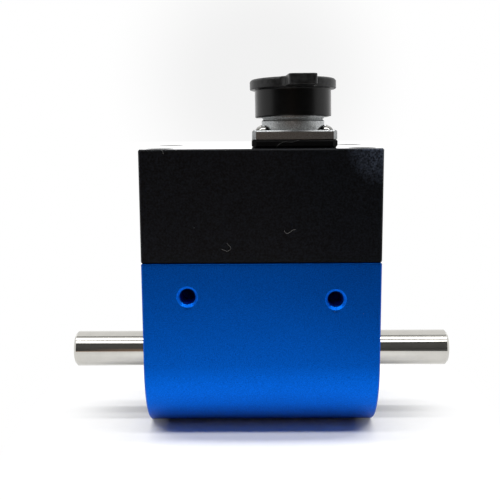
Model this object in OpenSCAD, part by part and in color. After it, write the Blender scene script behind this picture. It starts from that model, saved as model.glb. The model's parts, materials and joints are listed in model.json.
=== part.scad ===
// Rotary torque sensor. A strain-gauged shaft turns on two ball bearings in a lower housing with
// a half-round underside. A box on top holds the circuit board and carries the signal connector,
// which wears a push-on dust cap. Sizes are in millimetres. X runs along the shaft, the tapped
// holes face -Y, Z is up, and the origin is the middle of the flat foot under the lower housing.

/* [Shaft] */
// Diameter of the two free shaft ends
shaft_d = 8; // [6:0.5:9]
// Length of each free end outside the housing
stub_l = 17.5; // [10:0.5:30]
// Chamfer on each shaft tip
tip_chamfer = 0.5; // [0.2:0.1:1]
// Diameter of the bearing seats on the shaft
journal_d = 10; // [9.5:0.1:10.5]
// How far each bearing seat stands out past the housing
journal_proud = 0.5; // [0.2:0.1:2]
// Diameter of the seats for the rotor boards
seat_d = 12; // [11.5:0.1:12.5]
// Diameter of the collars beside the gauged section
collar_d = 14; // [13.5:0.1:14.5]
// Width of each collar
collar_w = 1.5; // [1:0.1:2]
// Diameter of the gauged section, which twists under load
gauge_d = 7; // [5:0.5:8]
// Length of the gauged section between the collars
gauge_l = 12; // [11:0.5:13]
// Radius of the fillets at both ends of the gauged section
gauge_fillet = 1.5; // [0.5:0.1:2]

/* [Strain gauges] */
// Length of a gauge along the shaft
foil_l = 5; // [3:0.5:6]
// Width of a gauge round the shaft
foil_w = 3.4; // [2:0.1:3.4]
// Thickness of a gauge with its cover film
foil_t = 0.12; // [0.05:0.01:0.3]
// Number of gauges
foil_count = 4; // [2:2:4]

/* [Bearings] */
// Outside diameter of a bearing
bearing_od = 22; // [21.5:0.1:23]
// Width of a bearing
bearing_w = 6; // [5.5:0.1:6.5]
// Diameter of a ball
ball_d = 3.2; // [2.8:0.1:3.4]
// Number of balls in a bearing
ball_count = 11; // [7:1:11]
// Play between a ball and each race
ball_play = 0.04; // [0.02:0.01:0.08]
// Depth of the race grooves
race_depth = 0.55; // [0.4:0.05:0.7]
// Radius of a race groove for each millimetre of ball diameter
race_fit = 0.52; // [0.51:0.005:0.55]
// Thickness of a cage
cage_t = 1; // [0.7:0.1:1.2]
// Width of the cage rail on each side of the balls
cage_rail = 0.35; // [0.25:0.05:0.45]
// Play between a ball and its cage pocket
pocket_play = 0.1; // [0.05:0.01:0.15]
// Thickness of a shield
shield_t = 0.3; // [0.2:0.05:0.4]
// Depth of the shield's seat below the ring's face
shield_sink = 0.5; // [0.45:0.05:0.6]
// Height of the shield's seat above the outer race shoulder
shield_step = 0.6; // [0.4:0.05:0.8]
// Gap between a shield and the inner ring
shield_gap = 0.25; // [0.1:0.05:0.5]

/* [Retaining rings] */
// Thickness of a retaining ring
clip_t = 1; // [0.8:0.1:1.2]
// Distance from the housing's end face to the groove
clip_inset = 1; // [0.8:0.1:1.4]
// Depth of the groove in the bearing seat
clip_groove = 0.5; // [0.4:0.05:0.8]
// Play of the ring in its groove, axial and radial
clip_play = 0.1; // [0.05:0.01:0.2]
// Radial width of the ring opposite its ears
clip_w = 2.2; // [1.8:0.1:2.4]
// Diameter of an ear
clip_ear_d = 3; // [2.6:0.1:3.2]
// Diameter of the pliers hole in an ear
clip_hole_d = 1.4; // [1:0.1:1.6]
// Width of the opening between the ears
clip_open = 2; // [1.5:0.1:2.4]

/* [Rotary transformers] */
// Width of a core along the shaft
core_w = 4.5; // [3.5:0.1:5]
// Radial thickness of a core
core_t = 1.88; // [1.6:0.02:2]
// Width of the core's side walls
core_lip = 0.7; // [0.5:0.1:1]
// Depth of the coil slot in a core
slot_depth = 1; // [0.7:0.1:1.2]
// Outside diameter of a rotor core
rotor_core_d = 15.6; // [15.2:0.1:16]
// Air gap between a rotor core and its stator core
air_gap = 0.4; // [0.3:0.05:0.6]
// How far a coil stays below the mouth of its slot
coil_sink = 0.15; // [0.05:0.05:0.3]
// Outside diameter of a rotor board
rotor_board_d = 15; // [14.5:0.1:15.5]
// Thickness of a rotor board
rotor_board_t = 1; // [0.6:0.1:1.4]

/* [Lower housing] */
// Width of the housing along the shaft
body_w = 50; // [49:1:70]
// Depth of the housing, which is also the diameter of its underside
body_d = 32; // [31:1:38]
// Height of the seam above the shaft axis
axis_to_seam = 22.5; // [21:0.5:30]
// Width of the flat foot under the housing
foot_w = 9; // [5:0.5:12]
// Bore in the middle of the housing, between the stator cores
bore_d = 20; // [19:0.1:21]
// Small chamfer on the outer edges of housing and box
edge_break = 0.3; // [0.1:0.05:0.6]
// Chamfer at the mouth of each bearing seat
mouth_chamfer = 0.4; // [0.2:0.1:0.7]
// Diameter of the passages for the stator leads
passage_d = 3.4; // [3:0.1:4]

/* [Mounting holes] */
// Diameter of the two tapped holes in the front face
mount_d = 3.4; // [2.5:0.1:4]
// Distance between the holes
mount_pitch = 31; // [28:0.5:33]
// Height of the left hole above the shaft axis
mount_rise = 15.4; // [14:0.1:17]
// How much lower the right hole sits
mount_drop = 0.7; // [0:0.1:1]
// Depth of the holes
mount_depth = 7; // [5:0.5:8]
// Diameter of the countersinks
mount_sink_d = 4.5; // [4.3:0.1:5.5]
// Point angle of the drill
drill_angle = 118; // [90:1:140]

/* [Electronics box] */
// Height of the box above the seam
box_h = 23.5; // [22:0.5:32]
// Thickness of the box walls
box_wall = 2.5; // [2:0.1:3]
// Thickness of the box roof
box_roof = 3; // [2.5:0.1:4]
// Size of the square pillars in the corners of the box
pillar = 7.5; // [7:0.1:8]
// Distance of the box screws from the outer faces
screw_inset = 4; // [3.6:0.1:4.2]
// Thread diameter of a box screw
screw_d = 3; // [2.5:0.5:3]
// Thread length of a box screw in the lower housing
screw_grip = 8; // [6:0.5:10]
// Diameter of a box screw head
head_d = 5.5; // [5:0.1:5.8]
// Height of a box screw head
head_h = 3; // [2.5:0.1:3.2]
// Width across flats of the hexagon socket
hex_af = 2.5; // [2:0.1:3]
// Depth of the hexagon socket
hex_depth = 1.5; // [1:0.1:2]
// Depth of a screw head below the roof
head_sink = 0.3; // [0.1:0.1:1]

/* [Main board] */
// Length of the board
board_l = 33; // [30:0.5:34]
// Width of the board
board_w = 24; // [22:0.5:25]
// Thickness of the board
board_t = 1.6; // [1:0.1:2]
// Height of the standoffs
standoff_h = 6; // [5:0.5:7]
// Width across flats of the standoffs
standoff_af = 4.5; // [4:0.1:5]
// Distance between standoffs along the board
standoff_px = 20; // [19:0.5:21]
// Distance between standoffs across the board
standoff_py = 18; // [17:0.5:19]
// Length of the stud under each standoff
stud_l = 5; // [4:0.5:5]
// Thread diameter of studs and board screws
board_screw_d = 2.5; // [2:0.1:2.5]
// Thread length of a board screw below the board
board_screw_l = 4; // [3:0.5:4.5]
// Diameter of a board screw head
board_head_d = 4.4; // [4:0.1:4.6]
// Height of a board screw head
board_head_h = 1.6; // [1:0.1:2]
// Diameter of the capacitors
cap_can_d = 5; // [4:0.5:5]
// Height of the capacitors
cap_can_h = 8; // [5:0.5:10]
// Distance of each capacitor from the middle of the board
cap_can_y = 8.6; // [8:0.1:9]
// Thickness of the processor and amplifier chips
chip_t = 1.2; // [0.8:0.1:1.6]
// Side of the square processor chip
processor_w = 7; // [5:0.5:8]
// Length of an amplifier chip
amplifier_l = 5; // [4:0.5:5]
// Width of an amplifier chip
amplifier_w = 4; // [3:0.5:4]
// Distance of each amplifier chip from the middle of the board
amplifier_y = 3; // [2.5:0.1:3.2]
// Gap between the amplifier chips and the end of the board
amplifier_edge = 1; // [0.5:0.1:1.5]
// Gap between the processor and the amplifier chips
chip_gap = 1.5; // [1:0.1:2]

/* [Wires] */
// Diameter of a wire
wire_d = 0.9; // [0.6:0.1:1]
// Distance between the two leads of a stator coil
lead_pitch = 1.6; // [1.2:0.1:1.8]

/* [Connector] */
// Distance of the connector from the middle of the box
conn_x = 7.2; // [6:0.1:8]
// Side of the square gasket
gasket_w = 18.2; // [17.8:0.1:19]
// Thickness of the gasket
gasket_t = 1.75; // [1:0.05:2.5]
// Corner chamfer of the gasket
gasket_corner = 1; // [0.5:0.1:1.5]
// Edge chamfer of the gasket
gasket_edge = 0.4; // [0.2:0.1:0.5]
// Side of the square flange
flange_w = 18; // [17.4:0.1:18.5]
// Thickness of the flange
flange_t = 1.9; // [1.5:0.1:2.5]
// Corner chamfer of the flange
flange_corner = 0.8; // [0.4:0.1:1.2]
// Edge chamfer on top of the flange
flange_edge = 0.3; // [0.1:0.1:0.5]
// Diameter of the threaded barrel
barrel_d = 13.8; // [13.4:0.1:14]
// Length of the barrel above the flange
barrel_l = 8.3; // [7.5:0.1:9]
// Height of the plain foot of the barrel, below its groove
foot_h = 1.9; // [1.5:0.1:2]
// Width of the groove above the foot
groove_w = 0.4; // [0.3:0.05:0.6]
// Depth of the groove
groove_depth = 0.35; // [0.2:0.05:0.5]
// Chamfer at the mouth of the barrel
barrel_chamfer = 0.4; // [0.2:0.1:0.6]
// Diameter of the socket inside the barrel
socket_d = 11.4; // [11:0.1:11.6]
// Width of the key slot in the socket wall
key_w = 1.6; // [1:0.1:2]
// Depth of the key slot
key_depth = 0.5; // [0.3:0.1:0.6]
// Diameter of the tube behind the flange
rear_d = 12; // [11.6:0.1:12.4]
// Length of that tube inside the box
rear_proud = 3; // [2:0.1:4]
// Diameter of the insert's rear part
insert_d = 10.4; // [10:0.1:10.6]
// Height of the insert's seat above the flange's underside
insert_seat = 1; // [0.5:0.1:1.5]
// Height of the insert above its seat
insert_h = 2.4; // [2:0.1:3]
// Number of contacts
contact_count = 5; // [3:1:6]
// Diameter of the circle of contacts
contact_ring = 6; // [5.4:0.1:6.4]
// Diameter of a contact
contact_d = 1.6; // [1.2:0.1:1.8]
// Diameter of the hole in a contact
contact_bore_d = 1; // [0.6:0.1:1.1]
// Depth of the hole in a contact
contact_depth = 4; // [3:0.5:6]
// Length of a contact behind the insert
cup_l = 2.5; // [1.5:0.1:3]
// Distance between the flange screws
flange_pitch = 13.2; // [13:0.1:13.4]
// Thread diameter of a flange screw
flange_screw_d = 2; // [1.6:0.1:2]
// Diameter of a flange screw head
flange_head_d = 3.4; // [3:0.1:3.6]
// Height of a flange screw head
flange_head_h = 1.1; // [1:0.1:1.6]
// Width of the cross recess in a flange screw head
recess_w = 0.5; // [0.3:0.1:0.6]
// Depth of the cross recess
recess_depth = 0.7; // [0.4:0.1:0.8]

/* [Dust cap] */
// Outside diameter of the cap's skirt
cap_d = 16.75; // [16.25:0.05:17.5]
// Depth of the cap's inside
cap_depth = 5.55; // [4.5:0.05:5.6]
// Clearance between the skirt and the barrel
cap_clear = 0.3; // [0.2:0.05:0.4]
// Thickness of the cap's top
cap_top_t = 2.6; // [2:0.05:3]
// Diameter of the rim
rim_d = 18.9; // [18.5:0.1:20]
// Thickness of the rim
rim_t = 2.2; // [1.5:0.05:2.5]
// Chamfer on the upper edge of the rim
rim_edge = 0.4; // [0.2:0.05:0.6]
// Chamfer on the lower edges of rim and skirt
cap_edge = 0.15; // [0.05:0.05:0.3]
// Width of the pull tab
tab_w = 5.9; // [4:0.1:8]
// Reach of the pull tab from the cap's middle
tab_reach = 15.4; // [12:0.1:15.4]
// Radius of the fillets between tab and rim
tab_fillet = 1.6; // [0.5:0.1:3]
// Radius of the tab's outer corners
tab_corner = 0.8; // [0.4:0.1:1.5]
// Turn of the pull tab from the front towards +X
tab_turn = 5.5; // [-10:0.5:10]

/* [Hidden] */
$fn = 96;

// Radial room between pieces that are fitted, bonded or screwed into each other
slip = 0.02;
// Radial room of a screw in its clearance hole
screw_room = 0.2;
// Countersink of the tapped holes under the box, beyond the thread
tap_sink = 0.2;
// Overlap of a cut past the face that it opens
past = 1;

// Heights above the foot
body_r = body_d / 2;
axis_z = sqrt(pow(body_r, 2) - pow(foot_w / 2, 2));
seam_z = axis_z + axis_to_seam;
top_z = seam_z + box_h;
board_z = seam_z + standoff_h;
board_top_z = board_z + board_t;
flange_z = top_z + gasket_t;
flange_top_z = flange_z + flange_t;
barrel_top_z = flange_top_z + barrel_l;

// Places along the shaft, on the right side
half_w = body_w / 2;
shaft_end = half_w + stub_l;
clip_x = half_w - clip_inset - clip_t - clip_play;
bearing_x = clip_x - bearing_w;
board_x = gauge_l / 2 + collar_w;
core_x = board_x + rotor_board_t;
core_mid_x = core_x + core_w / 2;

// Bearing radii
pitch_r = (journal_d + bearing_od) / 4;
race_r = ball_d * race_fit;
outer_race = pitch_r + ball_d / 2 + ball_play;
inner_race = pitch_r - ball_d / 2 - ball_play;
outer_shoulder = outer_race - race_depth;
inner_shoulder = inner_race + race_depth;
shield_r = outer_shoulder + shield_step;

// Transformer diameters, from the rotor core outwards and inwards
stator_core_id = rotor_core_d + 2 * air_gap;
core_seat_d = rotor_core_d - 2 * core_t - 2 * slip;
stator_seat_d = stator_core_id + 2 * core_t + 2 * slip;

// Connector places
rear_l = gasket_t + box_roof + rear_proud;
socket_floor = flange_z + insert_seat;
insert_top = socket_floor + insert_h;
cup_z = flange_z - rear_l - cup_l;
cap_z = barrel_top_z - cap_depth;
cap_top_z = barrel_top_z + cap_top_t;

// Puts a shape drawn for the right side on the left side instead
module on_side(side) {
  if (side < 0) mirror([1, 0, 0]) children();
  else children();
}

// Turns a profile, drawn as radius and place along X, about the shaft axis
module about_shaft() {
  translate([0, 0, axis_z]) rotate([0, 90, 0]) rotate_extrude() children();
}

// Four copies at the corners of a rectangle with the given spacings
module at_corners(px, py) {
  for (x = [-px / 2, px / 2], y = [-py / 2, py / 2]) translate([x, y, 0]) children();
}

// Moves its children to the connector's axis
module at_connector() {
  translate([conn_x, 0, 0]) children();
}

// Outline of a rectangle on z = 0 with its bottom and top corners cut off
function cut_outline(l, h, bottom, top) = concat(
  bottom > 0 ? [[-l / 2, bottom], [-l / 2 + bottom, 0], [l / 2 - bottom, 0], [l / 2, bottom]]
             : [[-l / 2, 0], [l / 2, 0]],
  [[l / 2, h - top], [l / 2 - top, h], [-l / 2 + top, h], [-l / 2, h - top]]
);

// A block on z = 0 with chamfered upright, bottom and top edges
module chamfered_block(l, w, h, upright, bottom, top) {
  intersection() {
    linear_extrude(h) translate([0, -w / 2]) polygon(cut_outline(l, w, upright, upright));
    rotate([90, 0, 0]) linear_extrude(w, center = true) polygon(cut_outline(l, h, bottom, top));
    rotate([90, 0, 90]) linear_extrude(l, center = true) polygon(cut_outline(w, h, bottom, top));
  }
}

// A hole down from z = 0, with a countersink of diameter sink_d and the cone that a drill leaves
module drilled(d, depth, sink_d) {
  tip = d / 2 / tan(drill_angle / 2);
  sink = (sink_d - d) / 2;
  rotate_extrude() polygon([
    [0, -depth - tip], [d / 2, -depth], [d / 2, -sink],
    [sink_d / 2 + past, past], [0, past]
  ]);
}

// Both halves of a profile about the shaft axis, from the half drawn towards +X
function both_halves(right) = concat(
  [for (i = [len(right) - 1 : -1 : 0]) [right[i][0], -right[i][1]]],
  right
);

// One half of the housing's bore: stator seat, bearing seat, groove and mouth
function bore_half() = let (seat_r = bearing_od / 2 + slip, clip_end = clip_x + clip_t + clip_play) [
  [bore_d / 2, core_x], [stator_seat_d / 2, core_x],
  [stator_seat_d / 2, bearing_x], [seat_r, bearing_x],
  [seat_r, clip_x], [seat_r + clip_groove, clip_x],
  [seat_r + clip_groove, clip_end], [seat_r, clip_end],
  [seat_r, half_w - mouth_chamfer], [seat_r + mouth_chamfer + past, half_w + past],
  [0, half_w + past]
];

module lower_housing() {
  color([0.02, 0.25, 0.62]) difference() {
    union() {
      translate([0, 0, axis_z]) chamfered_block(body_w, body_d, axis_to_seam, edge_break, 0, edge_break);
      intersection() {
        about_shaft() polygon([
          [0, -half_w], [body_r - edge_break, -half_w], [body_r, -half_w + edge_break],
          [body_r, half_w - edge_break], [body_r - edge_break, half_w], [0, half_w]
        ]);
        translate([-half_w, -body_r, 0]) cube([body_w, body_d, axis_z]);
      }
    }
    about_shaft() polygon(both_halves(bore_half()));
    for (side = [-1, 1])
      translate([side * core_mid_x, 0, axis_z]) cylinder(d = passage_d, h = axis_to_seam + past);
    for (hole = [[-mount_pitch / 2, mount_rise], [mount_pitch / 2, mount_rise - mount_drop]])
      translate([hole[0], -body_r, axis_z + hole[1]]) rotate([90, 0, 0])
        drilled(mount_d, mount_depth, mount_sink_d);
    translate([0, 0, seam_z]) {
      at_corners(body_w - 2 * screw_inset, body_d - 2 * screw_inset)
        drilled(screw_d + 2 * slip, screw_grip + past, screw_d + 2 * tap_sink);
      at_corners(standoff_px, standoff_py)
        drilled(board_screw_d + 2 * slip, stud_l + slip, board_screw_d + 2 * tap_sink);
    }
  }
}

module electronics_box() {
  inner_h = box_h - box_roof;
  color([0.07, 0.07, 0.08]) difference() {
    translate([0, 0, seam_z]) chamfered_block(body_w, body_d, box_h, edge_break, edge_break, edge_break);
    difference() {
      translate([-half_w + box_wall, -body_r + box_wall, seam_z - past])
        cube([body_w - 2 * box_wall, body_d - 2 * box_wall, inner_h + past]);
      at_corners(body_w - pillar, body_d - pillar)
        translate([-pillar / 2, -pillar / 2, seam_z - 2 * past]) cube([pillar, pillar, box_h]);
    }
    at_corners(body_w - 2 * screw_inset, body_d - 2 * screw_inset) {
      translate([0, 0, seam_z - past]) cylinder(d = screw_d + 2 * screw_room, h = box_h + 2 * past);
      translate([0, 0, top_z - head_h - head_sink]) cylinder(d = head_d + 2 * screw_room, h = box_h);
    }
    at_connector() translate([0, 0, seam_z + inner_h - past]) {
      cylinder(d = rear_d + 2 * screw_room, h = box_roof + 2 * past);
      at_corners(flange_pitch, flange_pitch)
        cylinder(d = flange_screw_d + 2 * slip, h = box_roof + 2 * past);
    }
  }
}

module box_screws() {
  under_head = top_z - head_h - head_sink;
  color([0.35, 0.36, 0.38]) at_corners(body_w - 2 * screw_inset, body_d - 2 * screw_inset) difference() {
    union() {
      translate([0, 0, under_head]) cylinder(d = head_d, h = head_h);
      translate([0, 0, seam_z - screw_grip]) cylinder(d = screw_d, h = under_head - seam_z + screw_grip);
    }
    translate([0, 0, under_head + head_h - hex_depth])
      cylinder(d = hex_af / cos(30), h = hex_depth + past, $fn = 6);
  }
}

// One half of the shaft's profile, from the middle to the right-hand tip
function shaft_half() = concat(
  [for (a = [0 : 15 : 90]) [
    gauge_d / 2 + gauge_fillet * (1 - cos(a)),
    gauge_l / 2 - gauge_fillet * (1 - sin(a))
  ]],
  [
    [collar_d / 2, gauge_l / 2], [collar_d / 2, board_x],
    [seat_d / 2, board_x], [seat_d / 2, core_x],
    [core_seat_d / 2, core_x], [core_seat_d / 2, bearing_x],
    [journal_d / 2, bearing_x], [journal_d / 2, half_w + journal_proud],
    [shaft_d / 2, half_w + journal_proud], [shaft_d / 2, shaft_end - tip_chamfer],
    [shaft_d / 2 - tip_chamfer, shaft_end], [0, shaft_end]
  ]
);

module shaft() {
  color([0.8, 0.79, 0.76]) about_shaft() polygon(both_halves(shaft_half()));
}

module strain_gauges() {
  color([0.75, 0.5, 0.15]) for (i = [0 : foil_count - 1]) intersection() {
    about_shaft() translate([gauge_d / 2 + slip, -foil_l / 2]) square([foil_t, foil_l]);
    translate([0, 0, axis_z]) rotate([360 * i / foil_count, 0, 0])
      translate([-foil_l, -foil_w / 2, 0]) cube([2 * foil_l, foil_w, gauge_d]);
  }
}

module rotor_boards() {
  color([0.05, 0.3, 0.15]) for (side = [-1, 1]) on_side(side) about_shaft()
    translate([seat_d / 2 + slip, board_x]) square([(rotor_board_d - seat_d) / 2 - slip, rotor_board_t]);
}

// Middle of a race groove, at the bearing's half width
module race_groove(r) {
  translate([r, bearing_w / 2]) circle(race_r);
}

module bearing_outer() {
  translate([bearing_x, 0, 0]) about_shaft() difference() {
    translate([outer_shoulder, 0]) square([bearing_od / 2 - outer_shoulder, bearing_w]);
    race_groove(outer_race - race_r);
    for (x = [-past, bearing_w - shield_sink])
      translate([outer_shoulder - past, x]) square([shield_step + past, shield_sink + past]);
  }
}

module bearing_inner() {
  bore = journal_d / 2 + slip;
  translate([bearing_x, 0, 0]) about_shaft() difference() {
    translate([bore, 0]) square([inner_shoulder - bore, bearing_w]);
    race_groove(inner_race + race_r);
  }
}

// Copies for every ball, placed at its centre
module at_balls() {
  translate([bearing_x + bearing_w / 2, 0, axis_z])
    for (i = [0 : ball_count - 1])
      rotate([360 * i / ball_count, 0, 0]) translate([0, 0, pitch_r]) children();
}

module bearing_balls() {
  at_balls() sphere(d = ball_d);
}

module bearing_cage() {
  pocket = ball_d + 2 * pocket_play;
  width = pocket + 2 * cage_rail;
  difference() {
    translate([bearing_x + bearing_w / 2, 0, 0]) about_shaft()
      translate([pitch_r - cage_t / 2, -width / 2]) square([cage_t, width]);
    at_balls() translate([0, 0, -cage_t]) cylinder(d = pocket, h = 2 * cage_t);
  }
}

module bearing_shields() {
  inside = inner_shoulder + shield_gap;
  for (x = [shield_sink - shield_t, bearing_w - shield_sink])
    translate([bearing_x, 0, 0]) about_shaft()
      translate([inside, x]) square([shield_r - slip - inside, shield_t]);
}

module left_bearing_outer() { color([0.72, 0.72, 0.7]) on_side(-1) bearing_outer(); }
module left_bearing_inner() { color([0.72, 0.72, 0.7]) on_side(-1) bearing_inner(); }
module left_bearing_balls() { color([0.85, 0.85, 0.85]) on_side(-1) bearing_balls(); }
module left_bearing_cage() { color([0.7, 0.55, 0.3]) on_side(-1) bearing_cage(); }
module left_bearing_shields() { color([0.6, 0.6, 0.6]) on_side(-1) bearing_shields(); }
module right_bearing_outer() { color([0.72, 0.72, 0.7]) bearing_outer(); }
module right_bearing_inner() { color([0.72, 0.72, 0.7]) bearing_inner(); }
module right_bearing_balls() { color([0.85, 0.85, 0.85]) bearing_balls(); }
module right_bearing_cage() { color([0.7, 0.55, 0.3]) bearing_cage(); }
module right_bearing_shields() { color([0.6, 0.6, 0.6]) bearing_shields(); }

// An internal retaining ring, open at the bottom between its two ears
module retaining_ring() {
  ring_r = bearing_od / 2 + clip_groove - clip_play;
  ear_r = ring_r - clip_groove - clip_ear_d / 2;
  ear_angle = asin((clip_open + clip_ear_d) / 2 / ear_r);
  translate([clip_x, 0, axis_z]) rotate([0, 90, 0]) linear_extrude(clip_t) difference() {
    union() {
      difference() {
        circle(r = ring_r);
        circle(r = ring_r - clip_w);
      }
      for (a = [-ear_angle, ear_angle]) rotate(a) translate([ear_r, 0]) circle(d = clip_ear_d);
    }
    translate([0, -clip_open / 2]) square([2 * ring_r, clip_open]);
    for (a = [-ear_angle, ear_angle]) rotate(a) translate([ear_r, 0]) circle(d = clip_hole_d);
  }
}

module left_retaining_ring() { color([0.2, 0.2, 0.2]) on_side(-1) retaining_ring(); }
module right_retaining_ring() { color([0.2, 0.2, 0.2]) retaining_ring(); }

// A ring with a coil slot in its outer or inner face
module slotted_core(inside, slot) {
  about_shaft() translate([0, core_x]) difference() {
    translate([inside, 0]) square([core_t, core_w]);
    translate([slot, core_lip]) square([slot_depth, core_w - 2 * core_lip]);
  }
}

// The winding in a core's slot
module coil(inside) {
  about_shaft() translate([inside, core_x + core_lip])
    square([slot_depth - coil_sink - slip, core_w - 2 * core_lip]);
}

module rotor_core() {
  slotted_core(rotor_core_d / 2 - core_t, rotor_core_d / 2 - slot_depth);
}

module rotor_coil() {
  coil(rotor_core_d / 2 - slot_depth + slip);
}

module stator_core() {
  slotted_core(stator_core_id / 2, stator_core_id / 2);
}

module stator_coil() {
  coil(stator_core_id / 2 + coil_sink);
}

module left_rotor_core() { color([0.25, 0.24, 0.23]) on_side(-1) rotor_core(); }
module left_rotor_coil() { color([0.72, 0.4, 0.2]) on_side(-1) rotor_coil(); }
module left_stator_core() { color([0.25, 0.24, 0.23]) on_side(-1) stator_core(); }
module left_stator_coil() { color([0.72, 0.4, 0.2]) on_side(-1) stator_coil(); }
module right_rotor_core() { color([0.25, 0.24, 0.23]) rotor_core(); }
module right_rotor_coil() { color([0.72, 0.4, 0.2]) rotor_coil(); }
module right_stator_core() { color([0.25, 0.24, 0.23]) stator_core(); }
module right_stator_coil() { color([0.72, 0.4, 0.2]) stator_coil(); }

module stator_leads() {
  low = axis_z + stator_seat_d / 2;
  color([0.7, 0.1, 0.1]) for (side = [-1, 1], y = [-lead_pitch / 2, lead_pitch / 2])
    translate([side * core_mid_x, y, low]) cylinder(d = wire_d, h = board_z - low);
}

module main_board() {
  color([0.05, 0.32, 0.16]) difference() {
    translate([-board_l / 2, -board_w / 2, board_z]) cube([board_l, board_w, board_t]);
    at_corners(standoff_px, standoff_py)
      translate([0, 0, board_z - past]) cylinder(d = board_screw_d + 2 * screw_room, h = board_t + 2 * past);
  }
}

module board_standoffs() {
  color([0.75, 0.6, 0.3]) at_corners(standoff_px, standoff_py) difference() {
    union() {
      translate([0, 0, seam_z]) cylinder(d = standoff_af / cos(30), h = standoff_h, $fn = 6);
      translate([0, 0, seam_z - stud_l]) cylinder(d = board_screw_d, h = stud_l);
    }
    translate([0, 0, board_z - board_screw_l - slip])
      cylinder(d = board_screw_d + 2 * slip, h = board_screw_l + past);
  }
}

module board_screws() {
  color([0.7, 0.7, 0.68]) at_corners(standoff_px, standoff_py) {
    translate([0, 0, board_top_z]) cylinder(d = board_head_d, h = board_head_h);
    translate([0, 0, board_z - board_screw_l]) cylinder(d = board_screw_d, h = board_screw_l + board_t);
  }
}

module board_chips() {
  amplifier_x = -board_l / 2 + amplifier_edge;
  processor_x = amplifier_x + amplifier_w + chip_gap;
  color([0.1, 0.1, 0.1]) translate([0, 0, board_top_z]) {
    translate([processor_x, -processor_w / 2, 0]) cube([processor_w, processor_w, chip_t]);
    for (y = [-amplifier_y, amplifier_y])
      translate([amplifier_x, y - amplifier_l / 2, 0]) cube([amplifier_w, amplifier_l, chip_t]);
  }
}

module board_capacitors() {
  color([0.2, 0.22, 0.3]) for (y = [-cap_can_y, cap_can_y])
    translate([0, y, board_top_z]) cylinder(d = cap_can_d, h = cap_can_h);
}

module connector_gasket() {
  color([0.05, 0.05, 0.05]) at_connector() translate([0, 0, top_z]) difference() {
    chamfered_block(gasket_w, gasket_w, gasket_t, gasket_corner, gasket_edge, gasket_edge);
    translate([0, 0, -past]) cylinder(d = rear_d + 2 * screw_room, h = gasket_t + 2 * past);
    at_corners(flange_pitch, flange_pitch)
      translate([0, 0, -past]) cylinder(d = flange_screw_d + 2 * screw_room, h = gasket_t + 2 * past);
  }
}

module connector_shell() {
  r = barrel_d / 2;
  groove_z = flange_t + foot_h;
  barrel_z = flange_t + barrel_l;
  color([0.66, 0.65, 0.62]) at_connector() translate([0, 0, flange_z]) difference() {
    union() {
      chamfered_block(flange_w, flange_w, flange_t, flange_corner, 0, flange_edge);
      translate([0, 0, -rear_l]) cylinder(d = rear_d, h = rear_l);
      rotate_extrude() polygon([
        [0, flange_t / 2], [r, flange_t / 2], [r, groove_z], [r - groove_depth, groove_z + groove_depth],
        [r - groove_depth, groove_z + groove_w], [r, groove_z + groove_depth + groove_w],
        [r, barrel_z - barrel_chamfer], [r - barrel_chamfer, barrel_z], [0, barrel_z]
      ]);
    }
    translate([0, 0, insert_seat]) cylinder(d = socket_d, h = barrel_z);
    translate([0, 0, -rear_l - past]) cylinder(d = insert_d, h = rear_l + 2 * past);
    translate([-key_w / 2, 0, insert_seat + insert_h]) cube([key_w, socket_d / 2 + key_depth, barrel_z]);
    at_corners(flange_pitch, flange_pitch)
      translate([0, 0, -past]) cylinder(d = flange_screw_d + 2 * screw_room, h = flange_t + 2 * past);
  }
}

// Copies on the circle of contacts
module at_contacts() {
  for (i = [0 : contact_count - 1])
    rotate(360 * i / contact_count) translate([contact_ring / 2, 0, 0]) children();
}

module connector_insert() {
  rear_z = flange_z - rear_l;
  color([0.09, 0.09, 0.1]) at_connector() difference() {
    union() {
      translate([0, 0, socket_floor]) cylinder(d = socket_d - 2 * slip, h = insert_h);
      translate([0, 0, rear_z]) cylinder(d = insert_d - 2 * slip, h = socket_floor - rear_z);
    }
    at_contacts() translate([0, 0, rear_z - past])
      cylinder(d = contact_d + 2 * slip, h = insert_top - rear_z + 2 * past);
  }
}

module connector_contacts() {
  color([0.85, 0.68, 0.3]) at_connector() at_contacts() difference() {
    translate([0, 0, cup_z]) cylinder(d = contact_d, h = insert_top - cup_z);
    translate([0, 0, insert_top - contact_depth]) cylinder(d = contact_bore_d, h = contact_depth + past);
  }
}

module connector_screws() {
  dome_r = (pow(flange_head_d / 2, 2) + pow(flange_head_h, 2)) / (2 * flange_head_h);
  shank_l = flange_t + gasket_t + box_roof;
  color([0.85, 0.85, 0.83]) at_connector() translate([0, 0, flange_top_z])
    at_corners(flange_pitch, flange_pitch) difference() {
      union() {
        intersection() {
          translate([0, 0, flange_head_h - dome_r]) sphere(r = dome_r);
          cylinder(d = flange_head_d, h = flange_head_h);
        }
        translate([0, 0, -shank_l]) cylinder(d = flange_screw_d, h = shank_l);
      }
      for (a = [0, 90]) rotate(a)
        translate([-flange_screw_d / 2, -recess_w / 2, flange_head_h - recess_depth])
          cube([flange_screw_d, recess_w, recess_depth + past]);
    }
}

module connector_wires() {
  color([0.75, 0.7, 0.2]) at_connector() at_contacts()
    translate([0, 0, board_top_z]) cylinder(d = wire_d, h = cup_z - board_top_z);
}

// Outline of the pull tab, pointing along +X, with fillets where it leaves the rim
module tab_outline() {
  side = tab_w / 2 + tab_fillet;
  tangent_x = sqrt(pow(rim_d / 2 + tab_fillet, 2) - pow(side, 2));
  square_l = tab_reach - tab_corner;
  translate([0, -tab_w / 2]) square([square_l, tab_w]);
  translate([0, -tab_w / 2 + tab_corner]) square([tab_reach, tab_w - 2 * tab_corner]);
  for (y = [-1, 1]) translate([square_l, y * (tab_w / 2 - tab_corner)]) circle(r = tab_corner);
  difference() {
    polygon([[0, 0], [tangent_x, -side], [tangent_x, side]]);
    for (y = [-1, 1]) translate([tangent_x, y * side]) circle(r = tab_fillet);
  }
}

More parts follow.
